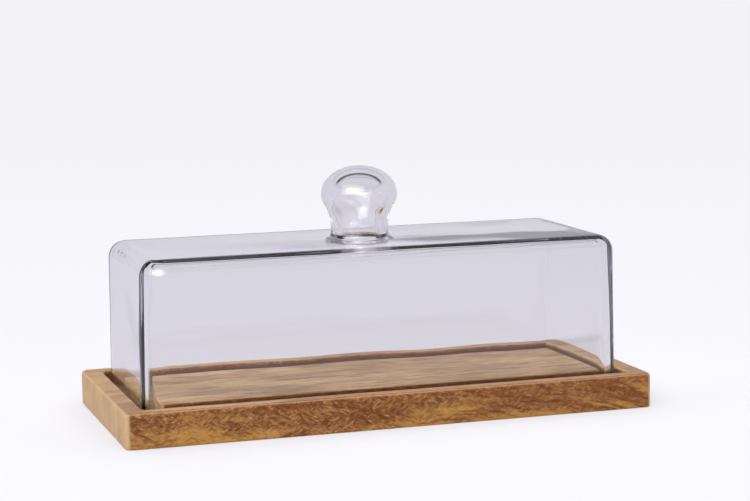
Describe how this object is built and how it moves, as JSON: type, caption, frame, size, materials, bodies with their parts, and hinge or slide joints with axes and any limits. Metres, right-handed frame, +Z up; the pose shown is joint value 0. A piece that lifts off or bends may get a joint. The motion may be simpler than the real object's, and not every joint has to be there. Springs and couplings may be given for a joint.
{
  "type": "butter dish",
  "caption": "Rectangular butter dish: a grooved wooden tray under a lift-off glass cover with a hollow mushroom knob.",
  "frame": {"origin": "centre of the tray's underside, on the surface the dish stands on", "axes": "+X along the tray's length, +Y towards the back long side, +Z up, the way the cover lifts off"},
  "size_m": [0.252, 0.114, 0.1154],
  "materials": {
    "wood": "oiled, satin, open grain",
    "glass": "clear hand-made glass, faintly lilac, slightly wavy"
  },
  "bodies": {
    "tray": {"wooden_tray": "wood"},
    "cover": {"glass_cover": "glass", "glass_knob": "glass"}
  },
  "joints": [
    {"name": "cover_lift", "type": "slide", "parent": "tray", "child": "cover", "axis": [0, 0, 1], "range_m": [0, 0.1]}
  ]
}
